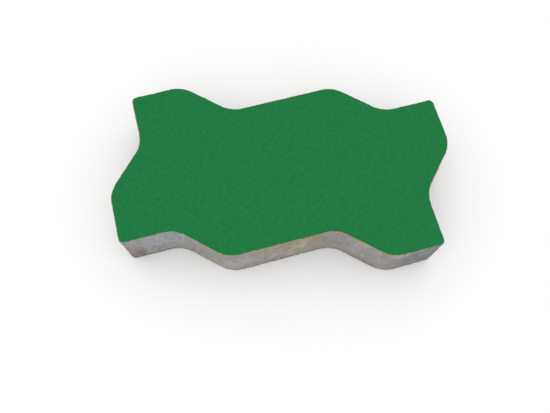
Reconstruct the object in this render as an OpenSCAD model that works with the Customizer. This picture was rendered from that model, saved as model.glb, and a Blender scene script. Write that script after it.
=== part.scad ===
// Interlocking concrete paving stone with a wave outline, lying face up on its bedding face.
// The stone is two square wave units long and one unit wide between its corners. Every unit of
// every edge has the same hollow and crest, so the edges of like stones key into each other.

/* [Outline] */
// Width of one wave unit, from corner to corner
unit_w = 112.5; // [105:0.5:125]
// Run along an edge from the start of a unit to its hollow, and from its crest to the end
bend_run = 37.5; // [32:0.5:40]
// Height of a crest, and depth of a hollow, from the straight line between the corners
wave_h = 10; // [6:0.5:12]
// Radius of the bend at each hollow and crest
bend_r = 22; // [10:1:24]
// Radius of the four upright corners
corner_r = 4; // [3:0.5:8]

/* [Section] */
// Thickness from the bedding face to the wearing face
thickness = 45; // [30:1:80]
// Radius of the rounded edge round the wearing face
face_arris = 2; // [1:0.25:2.5]
// Radius of the rounded edge round the bedding face
base_arris = 1; // [0.5:0.25:2]

/* [Hidden] */

// Units along the long edges and along the short edges
units_long = 2;
units_wide = 1;

// Flats round each bend or corner, and up each rounded edge
bend_flats = 8;
arris_flats = 4;

// Height by which the block stands past both faces before they are struck level
strike = 1;

// Breadth of the slab that both faces are struck level to, wider than the stone all round
slab_w = (units_long + 1) * unit_w;

half_l = units_long * unit_w / 2;
half_w = units_wide * unit_w / 2;
corners = [[-half_l, -half_w], [half_l, -half_w], [half_l, half_w], [-half_l, half_w]];

// Direction of an edge, counting the edges anticlockwise from the front, and the way out of it
function along(edge) = [cos(90 * edge), sin(90 * edge)];
function outward(direction) = [direction.y, -direction.x];

// Sharp points of an edge with their radii: its corner, then a hollow and a crest for each unit
function edge_points(edge) =
    let (
        start = corners[edge],
        run = along(edge),
        out = outward(run),
        units = edge % 2 == 0 ? units_long : units_wide
    )
    concat(
        [[start, corner_r]],
        [for (k = [0 : units - 1]) each [
            [start + (k * unit_w + bend_run) * run - wave_h * out, bend_r],
            [start + ((k + 1) * unit_w - bend_run) * run + wave_h * out, bend_r]
        ]]
    );

sharp_points = [for (edge = [0 : 3]) each edge_points(edge)];
point_count = len(sharp_points);

// Way out of the straight run between two sharp points
function run_out(a, b) = outward((b - a) / norm(b - a));

// Arc that rounds one sharp point of the outline, on the outline moved in by the inset
function bend_arc(j, inset) =
    let (
        point = sharp_points[j][0],
        radius = sharp_points[j][1],
        before = run_out(sharp_points[(j + point_count - 1) % point_count][0], point),
        after = run_out(point, sharp_points[(j + 1) % point_count][0]),
        turn = atan2(cross(before, after), before * after),
        centre = point - sign(turn) * radius * (before + after) / (1 + before * after),
        heading = atan2(before.y, before.x)
    )
    [for (k = [0 : bend_flats])
        let (angle = heading + turn * k / bend_flats)
        centre + (sign(turn) * radius - inset) * [cos(angle), sin(angle)]];

// Whole outline of the stone, moved in by the inset
function outline(inset) = [for (j = [0 : point_count - 1]) each bend_arc(j, inset)];

// Inset and height of each ring of the block, from the bedding face up to the wearing face
arris_angles = [for (k = [0 : arris_flats]) 90 * k / arris_flats];
rings = concat(
    [[base_arris, -strike]],
    [for (a = arris_angles) [base_arris * (1 - sin(a)), base_arris * (1 - cos(a))]],
    [for (a = arris_angles) [face_arris * (1 - cos(a)), thickness - face_arris * (1 - sin(a))]],
    [[face_arris, thickness + strike]]
);

// Block with the wave outline and both rounded edges, lofted through the rings
module wave_block() {
    sides = len(outline(0));
    last = (len(rings) - 1) * sides;
    foot = len(rings) * sides;
    head = foot + 1;
    ring_points = [for (ring = rings) each [for (p = outline(ring[0])) [p.x, p.y, ring[1]]]];
    centres = [[0, 0, -strike], [0, 0, thickness + strike]];
    walls = [for (r = [0 : len(rings) - 2], s = [0 : sides - 1])
        let (a = r * sides + s, b = r * sides + (s + 1) % sides)
        [a, a + sides, b + sides, b]];
    bottom = [for (s = [0 : sides - 1]) [foot, s, (s + 1) % sides]];
    top = [for (s = [0 : sides - 1]) [head, last + (s + 1) % sides, last + s]];
    polyhedron(points = concat(ring_points, centres), faces = concat(walls, bottom, top));
}

// The stone: the block, struck level at its bedding face and its wearing face
module paving_stone() {
    color("seagreen")
    intersection() {
        wave_block();
        translate([-slab_w / 2, -slab_w / 2, 0])
            cube([slab_w, slab_w, thickness]);
    }
}

paving_stone();
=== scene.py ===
"""Interlocking concrete paving stone with a wave outline, on a pale studio floor.

The stone is one piece of concrete. Its mesh starts as a fine copy of the solid. Grain, air holes and worn
edges are carved into that copy, so the stone never reaches past the solid's own box.
"""

import math

import bmesh
import bpy
from mathutils import Matrix, Vector, noise
from mathutils.bvhtree import BVHTree


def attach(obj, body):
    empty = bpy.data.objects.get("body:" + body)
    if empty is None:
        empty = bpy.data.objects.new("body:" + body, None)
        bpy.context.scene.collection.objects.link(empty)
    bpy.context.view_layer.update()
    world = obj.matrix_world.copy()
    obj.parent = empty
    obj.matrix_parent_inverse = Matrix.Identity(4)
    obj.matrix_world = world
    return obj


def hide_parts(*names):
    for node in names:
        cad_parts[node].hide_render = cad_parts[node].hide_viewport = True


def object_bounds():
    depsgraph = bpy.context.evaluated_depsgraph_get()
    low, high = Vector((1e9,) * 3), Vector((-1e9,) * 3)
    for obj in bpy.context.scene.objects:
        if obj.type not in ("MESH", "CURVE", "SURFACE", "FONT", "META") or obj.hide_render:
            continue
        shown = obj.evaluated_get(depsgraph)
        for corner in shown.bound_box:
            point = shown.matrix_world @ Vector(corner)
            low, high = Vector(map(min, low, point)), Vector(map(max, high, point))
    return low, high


bl_info = {
    "name": "Wave paving stone",
    "version": (1, 0, 0),
    "blender": (4, 5, 0),
    "location": "View3D > Sidebar > Paving",
    "description": "Dresses an interlocking concrete paving stone and sets up its studio",
    "category": "Object",
}

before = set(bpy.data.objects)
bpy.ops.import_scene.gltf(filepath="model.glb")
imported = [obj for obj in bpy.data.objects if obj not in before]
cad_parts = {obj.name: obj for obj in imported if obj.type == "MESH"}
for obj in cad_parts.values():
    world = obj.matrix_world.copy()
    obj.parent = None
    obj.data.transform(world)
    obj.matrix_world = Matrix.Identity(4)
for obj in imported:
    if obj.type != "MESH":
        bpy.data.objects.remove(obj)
CAD_LOW, CAD_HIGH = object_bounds()

NODE = "paving_stone"
MM = 0.001

# The picture that the camera frames, in pixels, and the sensor width that its lens is given for
PICTURE_W, PICTURE_H = 550, 413
SENSOR_W = 36.0


def linear(value):
    """Linear share of one part of a colour, given as it shows on a screen, from 0 to 255."""
    share = value / 255
    return share / 12.92 if share <= 0.04045 else ((share + 0.055) / 1.055) ** 2.4


def from_srgb(red, green, blue):
    """Linear colour of a colour given as it shows on a screen."""
    return linear(red), linear(green), linear(blue)


def length(label, text, size):
    """Property for a length in metres."""
    return bpy.props.FloatProperty(name=label, description=text, default=size, unit="LENGTH", precision=5)


def factor(label, text, share):
    """Property for a share from 0 to 1."""
    return bpy.props.FloatProperty(
        name=label, description=text, default=share, subtype="FACTOR", min=0, max=1)


def colour(label, text, shade):
    """Property for a linear colour."""
    return bpy.props.FloatVectorProperty(
        name=label, description=text, default=shade, subtype="COLOR", min=0, max=1, size=3)


def angle(label, text, degrees):
    """Property for an angle, stored in radians."""
    return bpy.props.FloatProperty(
        name=label, description=text, default=math.radians(degrees), subtype="ANGLE")


class StoneSettings(bpy.types.PropertyGroup):
    """Relief of the concrete."""

    mesh_size: length("Mesh size", "Spacing of the points on the level faces, halved on the sides", 1.55 * MM)
    face_grain: length("Face grain", "Depth of the fine grain of the wearing face", 0.12 * MM)
    side_grain: length("Side grain", "Depth of the open grain of the sides", 0.26 * MM)
    bed_grain: length("Bed grain", "Depth of the grain of the bedding face", 0.4 * MM)
    grain_size: length("Grain size", "Breadth of one grain of the relief", 2.4 * MM)
    swell_depth: length("Swell depth", "Depth of the soft swells that the mould left in the sides", 0.25 * MM)
    swell_size: length("Swell size", "Breadth of one soft swell in the sides", 11 * MM)
    bubble_spacing: length("Bubble spacing", "Spacing of the small air holes", 5.5 * MM)
    bubble_radius: length("Bubble radius", "Radius of the largest small air hole", 1.3 * MM)
    bubble_depth: length("Bubble depth", "Depth of the small air holes in the sides", 0.6 * MM)
    pinhole_depth: length("Pinhole depth", "Depth of the small air holes in the wearing face", 0.4 * MM)
    patch_size: length("Patch size", "Breadth of the patches with many or few small air holes", 44 * MM)
    side_bare: factor("Bare sides", "Share of the places for small holes in the sides that hold none", 0.45)
    face_bare: factor("Bare face", "Share of the places for small holes in the face that hold none", 0.85)
    void_spacing: length("Void spacing", "Spacing of the large air holes", 19 * MM)
    void_radius: length("Void radius", "Radius of the largest air hole", 2.8 * MM)
    void_depth: length("Void depth", "Depth of the large air holes in the sides", 1.8 * MM)
    void_bend: length("Void bend", "How far the outline of a large air hole wanders", 1.12 * MM)
    void_bare: factor("Bare voids", "Share of the places for large holes that hold none", 0.35)
    void_start: length("Void start", "Depth below the face at which the large air holes start", 2 * MM)
    void_full: length("Void full", "Depth below the face from which they reach their full depth", 7 * MM)
    wear_depth: length("Wear depth", "Depth of the even wear along the edges", 0.2 * MM)
    chip_depth: length("Chip depth", "Depth of the chips along the edges", 0.55 * MM)
    chip_size: length("Chip size", "Length of one chip along an edge", 6 * MM)


class ConcreteSettings(bpy.types.PropertyGroup):
    """Colours of the concrete and sizes of its patterns."""

    face: colour("Face", "Green pigment of the wearing face", from_srgb(27, 113, 61))
    rim: colour("Rim", "Ochre line round the edge of the face", from_srgb(172, 134, 92))
    cool: colour("Cool grey", "Bluer cement of the sides", from_srgb(136, 138, 141))
    warm: colour("Warm grey", "Browner cement of the sides", from_srgb(147, 142, 134))
    rose: colour("Rose grey", "Pinkish blotches of the sides", from_srgb(155, 143, 137))
    moss: colour("Moss grey", "Greenish blotches of the sides", from_srgb(133, 138, 125))
    sand: colour("Sand", "Pale grains of sand", from_srgb(180, 176, 166))
    grit: colour("Grit", "Dark grains of grit", from_srgb(89, 85, 81))
    bloom: colour("Bloom", "Pale lime bloom on the sides", from_srgb(172, 170, 165))
    # Darker, browner tone towards the bottom of the sides and on the underside
    foot_darkening: colour("Dirt", "Brown dirt along the foot of the sides", from_srgb(100, 93, 87))
    green_depth: length("Green depth", "Depth below the face at which the green ends along the front", 1 * MM)
    green_fade: length("Green fade", "Half the height over which the green fades out", 0.15 * MM)
    green_rise: length("Green rise", "How much higher the green ends round the rest", 0.35 * MM)
    rim_depth: length("Rim depth", "Depth below the face at which the ochre line has faded out", 3.8 * MM)
    rim_middle: length("Rim middle", "Place along the front where the ochre line is strongest", 16 * MM)
    rim_strong: length("Rim strong", "Distance from there up to which the line keeps its strength", 22 * MM)
    rim_faint: length("Rim faint", "Distance from there at which the line is faint", 95 * MM)
    rim_patch: length("Rim patch", "Breadth of the weak and strong patches of the ochre line", 30 * MM)
    cloud_size: length("Cloud size", "Breadth of the cool and warm clouds of the sides", 20 * MM)
    gap_size: length("Gap size", "Breadth of the gaps in the stains", 5.5 * MM)
    mottle_size: length("Mottle size", "Breadth of the light and dark mottles of the sides", 4 * MM)
    speck_size: length("Speck size", "Breadth of the fine specks", 1.2 * MM)
    sandy_size: length("Sandy size", "Breadth of the coarser specks of the face", 2.6 * MM)
    dust_size: length("Dust size", "Breadth of the finest grain of the surface", 0.6 * MM)
    bump_height: length("Bump height", "Height of the finest grain of the surface", 0.3 * MM)
    # Darker, browner band towards the bottom: breadth of the wobbles of its upper edge, height of its full
    # strength, height where it has faded out
    foot_ragged_size: length("Splash size", "Breadth of one splash of dirt", 16 * MM)
    foot_darkening_full: length("Dirt full", "Height up to which the dirt is at its strongest", 1 * MM)
    foot_darkening_end: length("Dirt end", "Height at which the dirt has faded out", 5 * MM)


class StageSettings(bpy.types.PropertyGroup):
    """Floor, light and camera."""

    floor: colour("Floor", "Colour of the floor", (0.92, 0.92, 0.92))
    floor_size: length("Floor size", "Breadth of the floor", 8.0)
    floor_gap: length("Floor gap", "Room between the floor and the grain of the stone", 0.2 * MM)
    horizon: bpy.props.FloatProperty(
        name="Horizon", description="Strength of the sky at the horizon", default=0.97)
    zenith: bpy.props.FloatProperty(
        name="Zenith", description="Strength of the sky overhead", default=1.08)
    zenith_from: factor("Zenith from", "Height in the sky from which it is as strong as overhead", 0.8)
    key_power: bpy.props.FloatProperty(
        name="Key power", description="Power of the soft box above the stone", default=3.2, unit="POWER")
    key_size: length("Key size", "Breadth of the soft box", 1.6)
    key_place: bpy.props.FloatVectorProperty(
        name="Key place", description="Place of the soft box, which faces the stone",
        default=(-0.3, -0.7, 1.5), size=3, subtype="TRANSLATION", unit="LENGTH")
    azimuth: angle("Azimuth", "Turn of the camera round the stone", 2.1)
    elevation: angle("Elevation", "Height of the camera above the horizon", 71.3)
    roll: angle("Roll", "Turn of the picture about the line of sight", -1.96)
    distance: length("Distance", "From the camera to the middle of the face, along its sight", 431.3 * MM)
    focal: bpy.props.FloatProperty(
        name="Focal length", description="Focal length in pixels of the picture",
        default=604.2, subtype="PIXEL")
    middle: bpy.props.FloatVectorProperty(
        name="Middle", description="Pixel where the middle of the face shows in the picture",
        default=(282.6, 167.7), size=2, subtype="COORDINATES")


# Points of the solid that are closer than this are one point
MERGE_GAP = 0.001 * MM

# A face is level if the upright part of its normal is at least this
LEVEL = 0.99

# Fall-off, step in fineness and number of layers of the grain's noise
GRAIN_LAYERS = (1.0, 2.0, 4)

# Values of noise between which swells, patches of small air holes and chips rise from nothing to full
SWELL_RISE = (-0.5, 0.5)
PATCH_RISE = (-0.35, 0.35)
CHIP_RISE = (0.3, 0.7)

# Radius of the smallest air hole as a share of the largest, and what spreads the draw of sizes
SMALLEST_HOLE = 0.35
DRAW_SPREAD = 37.0

# Distances, in breadths of the noise, between the readings that shift a point along X, Y and Z
WANDER_APART = (Vector((31, 0, 0)), Vector((0, 47, 0)), Vector((0, 0, 59)))


def fine_copy(size):
    """Bmesh of the solid with even points, closer on its sides, and the solid's own surface to carve from."""
    solid = bmesh.new()
    solid.from_mesh(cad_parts[NODE].data)
    bmesh.ops.remove_doubles(solid, verts=solid.verts, dist=MERGE_GAP)
    surface = BVHTree.FromBMesh(solid)

    mesh = bpy.data.meshes.new("stone_blank")
    solid.to_mesh(mesh)
    solid.free()
    blank = bpy.data.objects.new("stone_blank", mesh)
    bpy.context.scene.collection.objects.link(blank)
    remesh = blank.modifiers.new("Even points", "REMESH")
    remesh.mode = "VOXEL"
    remesh.voxel_size = size
    fine = bmesh.new()
    fine.from_object(blank, bpy.context.evaluated_depsgraph_get())
    bpy.data.objects.remove(blank)
    bpy.data.meshes.remove(mesh)

    fine.normal_update()
    steep = [edge for edge in fine.edges if any(abs(face.normal.z) < LEVEL for face in edge.link_faces)]
    bmesh.ops.subdivide_edges(fine, edges=steep, cuts=1, use_grid_fill=True)
    return fine, surface


def smooth_step(low, high, value):
    """0 below low, 1 above high, and a smooth rise between."""
    share = min(1.0, max(0.0, (value - low) / (high - low)))
    return share * share * (3 - 2 * share)


def wander(point):
    """Smooth shift of a point, each part of it between -1 and 1."""
    return Vector([noise.noise(point + apart) for apart in WANDER_APART])


def hole_share(point, spacing, radius, bare):
    """How far into an air hole a point lies: 0 outside, 1 at its middle. A share of the places is bare."""
    distances, centres = noise.voronoi(point / spacing)
    draw = 0.5 + 0.5 * noise.cell(centres[0] * DRAW_SPREAD)
    if draw < bare:
        return 0.0
    reach = radius / spacing * (SMALLEST_HOLE + (1 - SMALLEST_HOLE) * (draw - bare) / (1 - bare))
    return math.sqrt(max(0.0, 1 - (distances[0] / reach) ** 2))


def bubble_share(seat, up, settings):
    """How far into a small air hole a point lies. They come in patches, and fewer are in the wearing face."""
    patch = smooth_step(*PATCH_RISE, noise.noise(seat / settings.patch_size))
    bare = settings.side_bare + (settings.face_bare - settings.side_bare) * up
    return hole_share(seat, settings.bubble_spacing, settings.bubble_radius, bare) * patch


def void_share(seat, settings):
    """How far into a large air hole of uneven outline a point lies. None is close below the wearing face."""
    bent = seat + wander(seat / settings.void_radius) * settings.void_bend
    below = smooth_step(settings.void_start, settings.void_full, CAD_HIGH.z - seat.z)
    return hole_share(bent, settings.void_spacing, settings.void_radius, settings.void_bare) * below


def carve(stone, surface, settings):
    """Seats each point on the solid, then carves grain, air holes and worn edges into it."""
    holes = stone.verts.layers.float.new("hole")
    for vert in stone.verts:
        seat, normal, _, _ = surface.find_nearest(vert.co)
        up = max(0.0, normal.z)
        down = max(0.0, -normal.z)
        side = 1 - up - down
        grain = min(1.0, max(0.0, 0.5 + 0.5 * noise.fractal(seat / settings.grain_size, *GRAIN_LAYERS)))
        depth = grain * (side * settings.side_grain + up * settings.face_grain + down * settings.bed_grain)
        swell = smooth_step(*SWELL_RISE, noise.noise(seat / settings.swell_size))
        depth += side * swell * settings.swell_depth

        bubble = bubble_share(seat, up, settings)
        depth += bubble * ((side + down) * settings.bubble_depth + up * settings.pinhole_depth)
        void = void_share(seat, settings) * (side + down)
        depth += void * settings.void_depth

        # On a rounded edge the normal is partly upright, and chips are shallower towards the wearing face
        edge = 4 * up * (1 - up) + 4 * down * (1 - down)
        chip = smooth_step(*CHIP_RISE, noise.noise(seat / settings.chip_size)) * (1 - 0.5 * up)
        depth += edge * (chip * settings.chip_depth + grain * settings.wear_depth)
        vert.co = seat - normal * depth
        # How far each point lies into an air hole is kept on the point; the material paints shade into the
        # holes from it
        vert[holes] = max(bubble, void)


# Numbers of a Mix node's sockets for colours: its share, its two colours, and its result
MIX_SHARE, MIX_FIRST, MIX_SECOND, MIX_RESULT = 0, 6, 7, 2


class Wiring:
    """Short ways to add and join shader nodes in one tree."""

    def __init__(self, tree):
        self.tree = tree
        self.tree.nodes.clear()

    def put(self, kind, sockets=(), **settings):
        """Adds a node, sets its options, and joins or sets its sockets."""
        node = self.tree.nodes.new(kind)
        for name, value in settings.items():
            setattr(node, name, value)
        for name, value in dict(sockets).items():
            if isinstance(value, bpy.types.NodeSocket):
                self.tree.links.new(value, node.inputs[name])
            else:
                node.inputs[name].default_value = value
        return node

    def noise(self, place, size, detail=3.0, roughness=0.55):
        """Cloudy pattern whose clouds are about the given size in metres."""
        return self.put("ShaderNodeTexNoise", {
            "Vector": place, "Scale": 1 / size, "Detail": detail, "Roughness": roughness}).outputs["Fac"]

    def span(self, value, low, high, new_low=0.0, new_high=1.0, smooth=True):
        """Maps a value from one range to another, held at the ends."""
        return self.put("ShaderNodeMapRange", {
            "Value": value, "From Min": low, "From Max": high, "To Min": new_low, "To Max": new_high},
            interpolation_type="SMOOTHSTEP" if smooth else "LINEAR").outputs["Result"]

    def maths(self, operation, first, second=0.0):
        """Arithmetic on one value or two."""
        return self.put("ShaderNodeMath", {0: first, 1: second}, operation=operation).outputs["Value"]

    def mix(self, share, first, second, blend="MIX"):
        """Mixes two colours, each of them a socket or three numbers."""
        sockets = {MIX_SHARE: share}
        for name, shade in ((MIX_FIRST, first), (MIX_SECOND, second)):
            sockets[name] = shade if isinstance(shade, bpy.types.NodeSocket) else (*shade, 1.0)
        return self.put("ShaderNodeMix", sockets, data_type="RGBA", blend_type=blend).outputs[MIX_RESULT]

    def scale(self, shade, value):
        """Lightens or darkens a colour by a value."""
        grey = self.put("ShaderNodeCombineColor", {"Red": value, "Green": value, "Blue": value})
        return self.mix(1.0, shade, grey.outputs["Color"], "MULTIPLY")

    def grains(self, place, spacing, share, strength):
        """Mask of scattered round grains, by their spacing in metres and the share of places with one."""
        cells = self.put("ShaderNodeTexVoronoi", {"Vector": place, "Scale": 1 / spacing})
        parts = self.put("ShaderNodeSeparateColor", {"Color": cells.outputs["Color"]})
        picked = self.maths("LESS_THAN", parts.outputs["Red"], share)
        core = self.span(cells.outputs["Distance"], 0.2, 0.5, strength, 0.0)
        return self.maths("MULTIPLY", picked, core)


# Stains of the front: name, colour, middle and reach in mm, strength, and the noise below which it has gaps
STAINS = (
    ("cool patch", from_srgb(155, 161, 170), (-87, -46, 28), 29, 0.85, 0.34),
    ("brown corner", from_srgb(112, 101, 92), (-110, -56, 10), 30, 0.75, 0.36),
    ("pale bend", from_srgb(166, 165, 167), (-32, -62, 22), 20, 0.7, 0.34),
    ("rose patch", from_srgb(170, 150, 136), (-14, -60, 24), 24, 0.6, 0.4),
    ("olive smears", from_srgb(149, 132, 93), (14, -52, 27), 36, 0.9, 0.44),
    ("lavender patch", from_srgb(143, 141, 153), (46, -52, 26), 22, 0.6, 0.38),
    ("grey end", from_srgb(104, 112, 119), (112, -56, 24), 50, 0.9, 0.24),
)

# Share of its reach over which a stain keeps its strength, and the rise in noise over which its gaps close
STAIN_CORE = 0.2
GAP_CLOSE = 0.18

# Blotches of the sides: setting of the colour, breadth in mm, and where in metres their noise is read
BLOTCHES = (("rose", 8, 0.31), ("moss", 7, 0.57), ("bloom", 10, 0.83))

# Grains in the sides: setting of the colour, spacing in mm, share of the places that hold one, strength
GRAINS = (("sand", 1.2, 0.22, 0.35), ("grit", 1.6, 0.1, 0.45), ("grit", 3.1, 0.05, 0.4))

# Blotches are drawn out a little upwards, the way the mould was lifted off
DRAWN_UP = (1.0, 1.0, 0.55)

# Places along Y where the front ends and where the rest begins
FRONT_END, REST_START = -45 * MM, -30 * MM


def cement(wires, place, height, look):
    """Colour of the bare grey sides and underside, darker and browner towards the bottom."""
    drawn = wires.put("ShaderNodeMapping", {"Vector": place, "Scale": DRAWN_UP}).outputs["Vector"]
    clouds = wires.span(wires.noise(drawn, look.cloud_size, 4.0), 0.38, 0.62)
    shade = wires.mix(clouds, look.cool, look.warm)
    broken = wires.noise(drawn, look.gap_size, 4.0, 0.6)
    for _, stain, middle, reach, strength, gaps in STAINS:
        away = wires.put("ShaderNodeVectorMath", {0: place, 1: Vector(middle) * MM}, operation="DISTANCE")
        near = wires.span(away.outputs["Value"], STAIN_CORE * reach * MM, reach * MM, strength, 0.0)
        covered = wires.span(broken, gaps, gaps + GAP_CLOSE)
        shade = wires.mix(wires.maths("MULTIPLY", near, covered), shade, stain)

    for hue, size, apart in BLOTCHES:
        moved = wires.put("ShaderNodeVectorMath", {0: drawn, 1: (apart, apart, apart)}).outputs["Vector"]
        blotch = wires.span(wires.noise(moved, size * MM, 4.0, 0.6), 0.5, 0.68, 0.0, 0.5)
        shade = wires.mix(blotch, shade, getattr(look, hue))
    mottle = wires.span(wires.noise(drawn, look.mottle_size, 5.0, 0.65), 0.3, 0.7, 0.82, 1.16, False)
    shade = wires.scale(shade, mottle)
    for hue, spacing, share, strength in GRAINS:
        shade = wires.mix(wires.grains(place, spacing * MM, share, strength), shade, getattr(look, hue))

    # Darker and browner towards the bottom: full strength up to the first height, faded out by the second,
    # with a ragged upper edge
    foot_ragged = wires.noise(place, look.foot_ragged_size, 4.0, 0.6)
    level = wires.maths("ADD", height, wires.span(foot_ragged, 0.35, 0.65, 1.5 * MM, -1.5 * MM, False))
    foot_darkening = wires.span(level, CAD_LOW.z + look.foot_darkening_full, CAD_LOW.z + look.foot_darkening_end, 0.7, 0.0)
    return wires.mix(foot_darkening, shade, look.foot_darkening)


def face_edge(wires, place, spot, look):
    """Masks of the green and of the ochre line under it, both with ragged lower ends."""
    rest = wires.span(spot["Y"], FRONT_END, REST_START)
    ragged = wires.span(wires.noise(place, 5 * MM, 3.0), 0.3, 0.7, -0.2 * MM, 0.2 * MM, False)
    risen = wires.maths("ADD", ragged, wires.maths("MULTIPLY", rest, -look.green_rise))
    green_end = CAD_HIGH.z - look.green_depth
    in_green = wires.span(
        wires.maths("ADD", spot["Z"], risen), green_end - look.green_fade, green_end + look.green_fade)
    smeared = wires.span(wires.noise(place, 8 * MM, 3.0), 0.34, 0.66, -1.3 * MM, 2.4 * MM, False)
    in_ochre = wires.span(wires.maths("ADD", spot["Z"], smeared), CAD_HIGH.z - look.rim_depth, green_end)

    # The line is strongest right of the front's middle, faint at the front's ends, and even round the rest
    patchy = wires.span(wires.noise(place, look.rim_patch, 2.0), 0.38, 0.6, 0.6, 1.0)
    aside = wires.maths("ABSOLUTE", wires.maths("SUBTRACT", spot["X"], look.rim_middle))
    front = wires.span(aside, look.rim_strong, look.rim_faint, 1.0, 0.15)
    strength = wires.maths("MAXIMUM", front, wires.maths("MULTIPLY", rest, 0.85))
    return in_green, wires.maths("MULTIPLY", in_ochre, wires.maths("MULTIPLY", patchy, strength))


def concrete_material(look):
    """Concrete with a green wearing face, an ochre line round its edge, grey sides, and painted shade in its
    air holes.
    """
    material = bpy.data.materials.new("pigmented_concrete")
    material.use_nodes = True
    wires = Wiring(material.node_tree)
    place = wires.put("ShaderNodeTexCoord").outputs["Object"]
    spot = wires.put("ShaderNodeSeparateXYZ", {"Vector": place}).outputs
    hole = wires.put("ShaderNodeAttribute", attribute_name="hole").outputs["Fac"]
    in_green, in_ochre = face_edge(wires, place, spot, look)

    specks = wires.noise(place, look.speck_size, 3.0, 0.6)
    speckle = wires.span(specks, 0.3, 0.7, 0.86, 1.14, False)
    sandy = wires.span(wires.noise(place, look.sandy_size, 4.0, 0.6), 0.3, 0.7, 0.93, 1.07, False)
    grainy = wires.maths("MULTIPLY", speckle, sandy)
    shade = wires.mix(in_ochre, cement(wires, place, spot["Z"], look), wires.scale(look.rim, grainy))
    # Painted shade: the air holes are darkened, the grey to 0.76 and the green to 0.8 of their colour
    shade = wires.scale(shade, wires.span(hole, 0.1, 0.9, 1.0, 0.76))
    green = wires.scale(wires.scale(look.face, grainy), wires.span(hole, 0.1, 0.9, 1.0, 0.8))
    shade = wires.mix(in_green, shade, green)

    rough = wires.span(specks, 0.2, 0.8, 0.8, 0.98, False)
    relief = wires.maths("ADD", specks, wires.noise(place, look.dust_size, 2.0))
    bump = wires.put("ShaderNodeBump", {"Height": relief, "Strength": 0.35, "Distance": look.bump_height})
    shader = wires.put("ShaderNodeBsdfPrincipled", {
        "Base Color": shade, "Roughness": rough, "Specular IOR Level": 0.12,
        "Normal": bump.outputs["Normal"]})
    wires.put("ShaderNodeOutputMaterial", {"Surface": shader.outputs["BSDF"]})
    return material


class OBJECT_OT_paving_stone(bpy.types.Operator):
    """Carve the paving stone from its solid and give it its concrete"""

    bl_idname = "object.paving_stone"
    bl_label = "Paving Stone"

    def execute(self, context):
        settings = context.scene.stone
        stone, surface = fine_copy(settings.mesh_size)
        carve(stone, surface, settings)
        for face in stone.faces:
            face.smooth = True
        mesh = bpy.data.meshes.new("stone")
        stone.to_mesh(mesh)
        stone.free()
        mesh.materials.append(concrete_material(context.scene.concrete))
        piece = bpy.data.objects.new("stone", mesh)
        context.scene.collection.objects.link(piece)
        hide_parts(NODE)
        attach(piece, "root")
        return {"FINISHED"}


def floor(settings):
    """Pale floor that the stone lies on."""
    ground = bmesh.new()
    bmesh.ops.create_grid(ground, x_segments=1, y_segments=1, size=settings.floor_size / 2)
    bmesh.ops.translate(ground, verts=ground.verts, vec=(0, 0, CAD_LOW.z - settings.floor_gap))
    mesh = bpy.data.meshes.new("floor")
    ground.to_mesh(mesh)
    ground.free()
    material = bpy.data.materials.new("pale_floor")
    material.use_nodes = True
    shader = material.node_tree.nodes["Principled BSDF"]
    shader.inputs["Base Color"].default_value = (*settings.floor, 1.0)
    shader.inputs["Roughness"].default_value = 0.9
    shader.inputs["Specular IOR Level"].default_value = 0.1
    mesh.materials.append(material)
    piece = bpy.data.objects.new("floor", mesh)
    bpy.context.scene.collection.objects.link(piece)


def light(settings):
    """Sky that brightens overhead, and one large soft box above and in front of the stone."""
    world = bpy.data.worlds.new("studio")
    world.use_nodes = True
    wires = Wiring(world.node_tree)
    rise = wires.put("ShaderNodeSeparateXYZ", {
        "Vector": wires.put("ShaderNodeTexCoord").outputs["Generated"]}).outputs["Z"]
    strength = wires.span(rise, 0.0, settings.zenith_from, settings.horizon, settings.zenith)
    sky = wires.put("ShaderNodeBackground", {"Color": (1.0, 1.0, 1.0, 1.0), "Strength": strength})
    wires.put("ShaderNodeOutputWorld", {"Surface": sky.outputs["Background"]})
    bpy.context.scene.world = world

    box = bpy.data.lights.new("soft_box", "AREA")
    box.energy = settings.key_power
    box.size = settings.key_size
    lamp = bpy.data.objects.new("soft_box", box)
    lamp.location = settings.key_place
    lamp.rotation_euler = (Vector() - lamp.location).to_track_quat("-Z", "Y").to_euler()
    bpy.context.scene.collection.objects.link(lamp)


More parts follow.
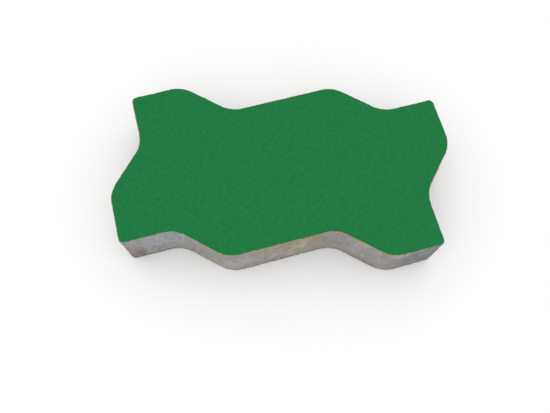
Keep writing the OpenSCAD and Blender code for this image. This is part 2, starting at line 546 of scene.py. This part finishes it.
def camera(settings):
    """Camera that looks down on the front of the stone, as the picture does."""
    sin_a, cos_a = math.sin(settings.azimuth), math.cos(settings.azimuth)
    sin_e, cos_e = math.sin(settings.elevation), math.cos(settings.elevation)
    sin_r, cos_r = math.sin(settings.roll), math.cos(settings.roll)
    level_right = Vector((cos_a, -sin_a, 0))
    level_up = Vector((sin_a * sin_e, cos_a * sin_e, cos_e))
    forward = Vector((sin_a * cos_e, cos_a * cos_e, -sin_e))
    right = cos_r * level_right - sin_r * level_up
    up = sin_r * level_right + cos_r * level_up

    # The camera moves aside so that the middle of the face shows at its pixel
    per_pixel = settings.distance / settings.focal
    aside = (settings.middle[0] - PICTURE_W / 2) * per_pixel
    below = (settings.middle[1] - PICTURE_H / 2) * per_pixel
    face_middle = Vector((0, 0, CAD_HIGH.z))
    place = face_middle - aside * right + below * up - settings.distance * forward
    data = bpy.data.cameras.new("camera")
    data.sensor_width = SENSOR_W
    data.lens = settings.focal / PICTURE_W * SENSOR_W
    data.clip_start = 10 * MM
    eye = bpy.data.objects.new("camera", data)
    eye.matrix_world = Matrix.Translation(place) @ Matrix((right, up, -forward)).transposed().to_4x4()
    bpy.context.scene.collection.objects.link(eye)
    bpy.context.scene.camera = eye


class SCENE_OT_paving_studio(bpy.types.Operator):
    """Set up the floor, the soft light and the camera"""

    bl_idname = "scene.paving_studio"
    bl_label = "Paving Studio"

    def execute(self, context):
        settings = context.scene.stage
        floor(settings)
        light(settings)
        camera(settings)
        context.scene.view_settings.view_transform = "Standard"
        return {"FINISHED"}


class VIEW3D_PT_paving(bpy.types.Panel):
    """Sizes, colours and buttons of the paving stone"""

    bl_label = "Paving Stone"
    bl_space_type = "VIEW_3D"
    bl_region_type = "UI"
    bl_category = "Paving"

    def draw(self, context):
        for group in (context.scene.stone, context.scene.concrete, context.scene.stage):
            box = self.layout.box()
            for name in group.__annotations__:
                box.prop(group, name)
        self.layout.operator(OBJECT_OT_paving_stone.bl_idname)
        self.layout.operator(SCENE_OT_paving_studio.bl_idname)


GROUPS = {"stone": StoneSettings, "concrete": ConcreteSettings, "stage": StageSettings}
CLASSES = (OBJECT_OT_paving_stone, SCENE_OT_paving_studio, VIEW3D_PT_paving)


def register():
    """Adds the settings to the scene, and the operators and the panel to Blender."""
    for name, group in GROUPS.items():
        bpy.utils.register_class(group)
        setattr(bpy.types.Scene, name, bpy.props.PointerProperty(type=group))
    for kind in CLASSES:
        bpy.utils.register_class(kind)


def unregister():
    """Takes away what register added."""
    for kind in reversed(CLASSES):
        bpy.utils.unregister_class(kind)
    for name, group in GROUPS.items():
        delattr(bpy.types.Scene, name)
        bpy.utils.unregister_class(group)


def main():
    """Builds the stone and its studio."""
    register()
    bpy.ops.object.paving_stone()
    bpy.ops.scene.paving_studio()


if __name__ == "__main__":
    main()
